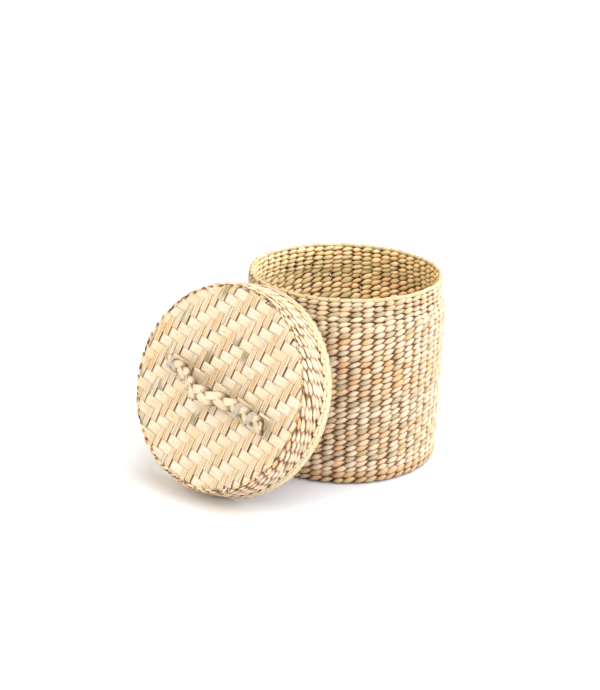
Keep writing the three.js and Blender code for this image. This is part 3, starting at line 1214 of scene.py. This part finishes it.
@dataclass
class Lid(TwinedWall):
    """The cap lid: a twill face, a short twined skirt and a border of strips folded over its edge."""

    dresser: Dresser
    body: Body = Body.LID
    place: Place = LID_PLACE
    courses: int = 5
    wall: float = 2.2
    stake_width: float = 7.2
    stake_thick: float = 0.4
    stake_tones: Pair = (0.5, 0.15)
    # Painted shade on the skirt's stakes.
    stake_depth: float = 0.35
    stake_lap: float = 2.0
    stake_rings: int = 9
    course_names: tuple[str, str] = ("skirt_course_{}", "lid_course_{}")
    lining_names: tuple[str, str] = ("skirt_inside", "lid_lining")
    weft_tones: Pair = (0.44, 0.66)
    weft_spread: float = 0.12
    seed: int = 57
    face_turn: float = 4.0
    face_sunk: float = 0.6
    strip_thick: float = 0.8
    strip_width: float = 8.6
    strip_lean: float = 0.4
    strip_play: float = 0.05
    strip_rise: float = 0.6
    strip_tones: Pair = (0.5, 0.12)
    outside_rings: int = 6
    turn_rings: int = 7
    inside_rings: int = 4
    # Painted shade along the border strips' edges.
    strip_section: Section = Section(squareness=0.6, edge_shade=0.3)
    shingle: float = math.radians(2.5)
    border_lap: float = 0.7
    binding_drop: float = 0.3
    binding: Fold = Fold(
        length=2.8,
        width=2.7,
        thick=0.7,
        rings=15,
        blunt=(4, 0.7),
        tips=(0.25, 1.0, 0.3),
        open_depth=1.1,
        leave=0.15,
        uneven=0.12,
        plays=(0.3, 1.0, 1.0),
        tones=(0.5, 0.14),
        section=Section(squareness=0.7, edge_shade=0.35),
        steady_tips=True,
    )
    skirt_twining: Twining = Twining(
        wall=2.8,
        thick=1.9,
        length=1.8,
        rise=0.62,
        crest=1.22,
        taper=1.45,
        head=1.25,
        uneven=0.26,
        section=Section(edge_shade=0.25, back_shade=1.0, under_shade=0.95),
    )

    def __post_init__(self) -> None:
        """Stretches the skirt a little way over the border."""
        self.rng = np.random.default_rng(self.seed)
        self.border = self.place.band("lid_border")
        rooms = self.measure()
        top = rooms[1, -1]
        stretch = 1 + self.border_lap / (top - self.border.high)
        rooms[:2] = top - stretch * (top - rooms[:2])
        self.settle(rooms)
        self.twinings = [self.skirt_twining] * self.courses

    def build(self) -> None:
        """Builds and dresses every piece of the lid but its handle."""
        self.build_face()
        self.build_stakes()
        self.build_courses()
        self.build_border()

    def build_face(self) -> None:
        """The twill face, whose strips turn down behind the first course."""
        face = self.place.band("lid_panel")
        flat = face.radius - self.face_turn
        twill = Twill(flat, face.high - self.face_sunk, turned=2 * self.face_turn)
        self.dress("face_twill", twill.strips(self.rng), Slot.PANEL, "lid_panel")

    def build_stakes(self) -> None:
        """The flat stakes inside the skirt."""
        low, high = self.bands[0].low - self.stake_lap, self.bands[-1].middle
        heights = np.linspace(low, high, self.stake_rings)
        stakes = self.stakes(self.wall_radius(heights), heights, self.stake_depth)
        self.dress("skirt_stakes", [stakes], Slot.STAKE, "lid_stakes")

    def build_border(self) -> None:
        """Strips folded over the open edge, each lapping the next, and their ends bound along it."""
        top = self.border.high
        half = (self.wall - self.strip_thick) / 2
        middle = self.border.radius - self.wall / 2
        foot = half + self.strip_thick / 2
        turn = np.linspace(0, -math.pi, self.turn_rings)
        outside = np.linspace(top + self.strip_rise, foot + 1, self.outside_rings)
        inside = np.linspace(foot + 1, top, self.inside_rings)
        edges = (0 * outside + half, half * np.cos(turn), 0 * inside - half)
        radius = middle + np.concatenate(edges)
        height = np.concatenate([outside, foot + half * np.sin(turn), inside])
        loose = self.rng.normal(0, self.strip_play, (STAKES, 1))
        lean = self.strip_lean * (height / top) * np.where(radius > middle, 1, 0)
        angle = stake_angles(0.5 + lean + loose)
        strips = self.strip_section.sweep(
            ring_path(radius, angle, height),
            outward(angle + self.shingle + QUARTER_TURN),
            self.strip_width,
            self.strip_thick,
            even_tones(self.rng, *self.strip_tones),
            1.0,
            self.rng,
        )
        fall = (top - self.border_lap - self.binding.width) / 2
        outer = middle + half + self.strip_thick / 2
        ends = self.binding.ends(outer, top / 2 - self.binding_drop, fall, self.rng)
        self.dress("folded_border", [strips, ends], Slot.BORDER, "lid_border")


@dataclass
class PlaitedHandle:
    """A three-strand plait that arches between its ends, and the thread that lashes it to the face."""

    dresser: Dresser
    half_length: float = 43.5
    arch_left: float = 30.5
    arch_right: float = 17.0
    arch_rise: float = 10.4
    swing: float = math.radians(16)
    repeat: float = 28.7
    reach: float = 3.3
    bound_reach: float = 2.7
    bound_thinner: float = 0.12
    depth: float = 1.0
    fold: float = 0.97
    strand_width: float = 6.0
    strand_thick: float = 1.2
    end_width: float = 0.75
    end_length: float = 3.0
    end_fade: float = 4.0
    curl: float = 3.0
    curl_length: float = 8.0
    strands: int = 3
    rings: int = 150
    tone: float = 0.45
    tone_play: float = 0.1
    # Painted shade where a strand passes under the others.
    open_usual: float = 0.7
    open_swing: float = 0.65
    # Painted shade along the strands' edges.
    section: Section = Section(corners=12, squareness=0.6, edge_shade=0.6)
    lashed: tuple[str, ...] = ("left", "right_inner", "right_outer")
    thread: float = 0.45
    thread_section: Section = Section()
    loop_radius: float = 4.1
    loop_turns: int = 5
    loop_rings: int = 15
    leg_reach: float = 2.6
    leg_sunk: float = 0.6
    under_sunk: float = 1.0
    tight_reach: float = 1.4
    tight_length: float = 1.2
    tight_width: float = 0.7
    tight_thick: float = 1.6
    seed: int = 58

    def __post_init__(self) -> None:
        """Finds the handle's own frame: along the hinge, across it, and off the face."""
        hinge = next(joint for joint in frame["joints"] if joint["name"] == "handle_swing")
        pivot = np.array(hinge["pos_m"], float) / MM
        along = unit(np.array(hinge["axis"], float))
        off_face = LID_PLACE.axes[2]
        self.place = Place(pivot, np.array([along, np.cross(off_face, along), off_face]))
        self.lift = LID_PLACE.local(pivot)[2] - LID_PLACE.band("lid_panel").high
        self.lashings = {side: self._room(f"{side}_lashing") for side in self.lashed}
        self.rng = np.random.default_rng(self.seed)

    def _room(self, node: str) -> tuple[float, float]:
        """How far a node reaches along the plait, each way."""
        along = self.place.local(node_points(node))[:, 0]
        return along.min(), along.max()

    def build(self) -> None:
        """Builds and dresses the strands and the lashings."""
        for number in range(1, self.strands + 1):
            parts = [self.strand(number - 1)]
            names = f"plait_strand_{number}", f"handle_strand_{number}"
            self.dresser.dress(names[0], parts, self.place, Slot.PLAIT, Body.HANDLE, names[1])
        for side in self.lashed:
            names = f"{side}_thread", f"{side}_lashing"
            parts = [self.lashing(side)]
            self.dresser.dress(names[0], parts, self.place, Slot.THREAD, Body.LID, names[1])

    def strand(self, number: int) -> Array:
        """Sweeps one strand of the plait.

        Args:
            number: Which strand, from 0.

        Returns:
            The strand.
        """
        along = np.linspace(-self.half_length, self.half_length, self.rings)
        share = np.clip((along + self.arch_left) / (self.arch_left + self.arch_right), 0, 1)
        bump = (1 - np.cos(FULL_TURN * share)) / 2
        phase = FULL_TURN * (along / self.repeat + number / self.strands)
        tight = np.zeros(self.rings)
        for low, high in self.lashings.values():
            past = np.maximum(np.abs(along - (low + high) / 2) - (high - low) / 2, 0)
            tight = np.maximum(tight, np.exp(-((past / self.tight_length) ** 2)))
        reach = self.bound_reach + (self.reach - self.bound_reach) * np.sqrt(bump)
        reach = reach + (self.tight_reach - reach) * tight
        across = reach * np.arcsin(self.fold * np.sin(phase)) / math.asin(self.fold)
        curled = np.clip((along - self.half_length) / self.curl_length + 1, 0, 1)
        up = self.arch_rise * bump + self.depth * np.sin(2 * phase) + self.curl * curled**2
        wide = np.array([0.0, math.cos(self.swing), math.sin(self.swing)])
        off = np.array([0.0, -math.sin(self.swing), math.cos(self.swing)])
        path = along[:, None] * np.array([1.0, 0.0, 0.0]) + across[:, None] * wide + up[:, None] * off
        ends = np.clip((self.half_length - np.abs(along)) / self.end_length, 0, 1)
        # Painted shade where a strand passes under the others; darker over the last part of both ends.
        open_share = np.clip(self.open_usual + self.open_swing * np.sin(2 * phase), 0, 1)
        bound = 1 - self.bound_thinner * (1 - np.sqrt(bump))
        tip = self.end_width + (1 - self.end_width) * ends
        return self.section.sweep(
            path[None],
            wide,
            self.strand_width * bound * tip * (1 + (self.tight_width - 1) * tight),
            self.strand_thick * bound * (1 + (self.tight_thick - 1) * tight),
            self.rng.normal(self.tone, self.tone_play) + self.tone_play * np.sin(phase),
            open_share * np.clip(self.end_fade * ends, 0, 1),
            self.rng,
        )

    def lashing(self, side: str) -> Array:
        """Sweeps one lashing: thread wound over the plait and down through the face on both sides.

        Args:
            side: Which lashing.

        Returns:
            The thread.
        """
        low, high = self.lashings[side]
        pitch = (high - low - self.thread) / (self.loop_turns - 1)
        over = np.linspace(math.pi, 0, self.loop_rings)
        arch = self.loop_radius * np.array([np.cos(over), np.sin(over)])
        reach = (self.leg_reach + self.loop_radius) / 2
        deep, halfway = -self.lift - self.leg_sunk, -self.lift / 2
        along = [0, 0, *np.linspace(0, 0.5, self.loop_rings), 0.5, 0.5, 0.75]
        across = [-self.leg_reach, -reach, *arch[0], reach, self.leg_reach, 0]
        up = [deep, halfway, *arch[1], halfway, deep, -self.lift - self.under_sunk]
        turn = np.column_stack([pitch * np.array(along), across, up])
        starts = low + self.thread / 2 + pitch * np.arange(self.loop_turns)
        wide = np.array([1.0, 0.0, 0.0])
        path = np.concatenate([turn + start * wide for start in starts])
        return self.thread_section.sweep(path[None], wide, self.thread, self.thread, 0.5, 1.0, self.rng)


@dataclass(frozen=True)
class Softbox:
    """A broad soft light, even over the whole floor, in a direction that is seen from the box."""

    name: str
    toward: Triple
    spread: float
    strength: float
    tint: Screen

    def make(self) -> None:
        """Adds the light."""
        data = bpy.data.lights.new(self.name, "SUN")
        data.color = linear(self.tint)[:3]
        data.angle = self.spread
        data.energy = self.strength
        lamp = add_object(self.name, data)
        lamp.rotation_euler = Vector(self.toward).to_track_quat("Z", "Y").to_euler()


@dataclass(frozen=True)
class Studio:
    """A pale floor, soft light and a camera at the photograph's angle."""

    camera_place: Triple = (0.0, -868.7, 388.0)
    pitch: float = math.radians(20.1)
    yaw: float = math.radians(-1.86)
    roll: float = math.radians(1.8)
    focal_pixels: float = 1400.5
    farthest: float = 100000.0
    floor_half: float = 9000.0
    floor_sunk: float = 0.02
    room_strength: float = 0.55
    room_light: Screen = (255, 247, 234)
    room_seen: Screen = (250, 251, 255)
    softboxes: tuple[Softbox, ...] = (
        Softbox("right_softbox", (1.0, -0.12, 0.85), math.radians(110), 4.7, (255, 255, 255)),
        Softbox("left_softbox", (-1.1, -0.75, 1.2), math.radians(40), 1.6, (255, 238, 214)),
    )

    def build(self) -> None:
        """Makes the floor, the lights and the camera."""
        self.make_floor()
        for softbox in self.softboxes:
            softbox.make()
        self.make_world()
        self.make_camera()

    def make_floor(self) -> None:
        """The pale paper sweep."""
        mesh = bpy.data.meshes.new("paper_floor")
        half = self.floor_half * MM
        corners = [(-half, -half, 0), (half, -half, 0), (half, half, 0), (-half, half, 0)]
        mesh.from_pydata(corners, [], [(0, 1, 2, 3)])
        mesh.materials.append(FLOOR.make())
        floor = add_object("paper_floor", mesh)
        floor.location.z = -self.floor_sunk * MM
        floor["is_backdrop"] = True

    def make_world(self) -> None:
        """Even light from a white room all round, and plain picture tones."""
        world = bpy.data.worlds.new("white_room")
        world.use_nodes = True
        graph = Graph(world.node_tree)
        seen = graph.add("ShaderNodeLightPath", {}, {}, "Is Camera Ray")
        strength = self.room_strength + seen * (1 - self.room_strength)
        colour = graph.mix(seen, linear(self.room_light), linear(self.room_seen))
        graph.fill(world.node_tree.nodes["Background"], {"Color": colour, "Strength": strength})
        bpy.context.scene.world = world
        bpy.context.scene.view_settings.view_transform = "Standard"

    def make_camera(self) -> None:
        """The camera, as far off, as high and as tilted as the photograph's."""
        data = bpy.data.cameras.new("photo_camera")
        data.lens = self.focal_pixels * data.sensor_width / max(PHOTO_SIZE)
        data.clip_end = self.farthest * MM
        camera = add_object("photo_camera", data)
        camera.matrix_world = (
            Matrix.Translation(Vector(self.camera_place) * MM)
            @ Matrix.Rotation(-self.yaw, 4, "Z")
            @ Matrix.Rotation(QUARTER_TURN - self.pitch, 4, "X")
            @ Matrix.Rotation(self.roll, 4, "Z")
        )
        bpy.context.scene.camera = camera


def write_sizes() -> None:
    """Measures the dressed model's box and lists its corners beside the part's."""
    boxes = {"part": part_box, "dressed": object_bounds()}
    lists = {name: [list(corner) for corner in box] for name, box in boxes.items()}


def main() -> None:
    """Builds the scene, one sub-assembly after another."""
    logging.basicConfig(level=logging.INFO, format="%(name)s: %(message)s")
    Studio().build()
    dresser = Dresser()
    BoxBody(dresser).build()
    Lid(dresser).build()
    PlaitedHandle(dresser).build()
    write_sizes()


if __name__ == "__main__":
    main()
